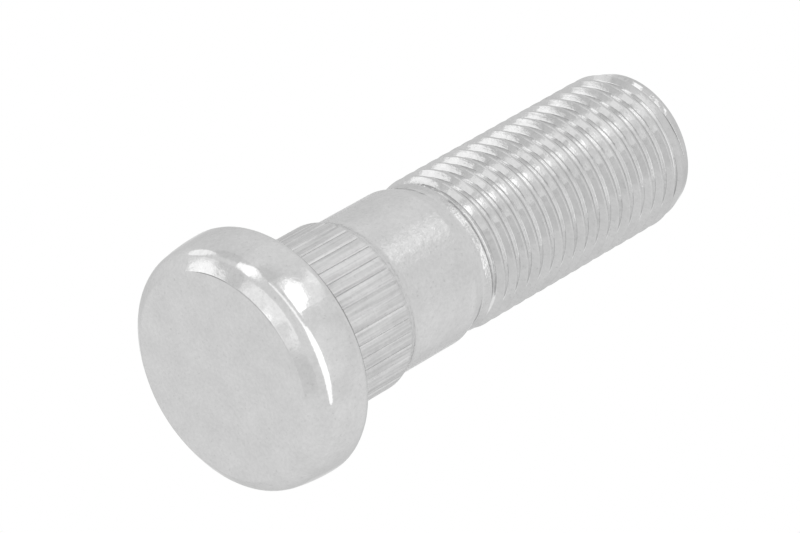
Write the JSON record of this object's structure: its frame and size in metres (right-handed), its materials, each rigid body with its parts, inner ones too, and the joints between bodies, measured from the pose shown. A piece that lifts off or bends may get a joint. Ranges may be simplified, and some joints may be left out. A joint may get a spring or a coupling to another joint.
{
  "type": "wheel stud",
  "caption": "Press-in wheel stud in bright zinc-plated steel: bevelled round head, straight-knurled neck, plain shank and fine metric thread.",
  "frame": {"origin": "centre of the head's flat end face, on which the stud stands", "axes": "+Z along the stud's axis, from the head to the thread's tip"},
  "size_m": [0.0188, 0.0188, 0.0441],
  "materials": {
    "zinc_plated_steel": "bright zinc plate over forged and rolled steel, satin with polished spots"
  },
  "bodies": {
    "root": {"wheel_stud": "zinc_plated_steel"}
  },
  "joints": []
}
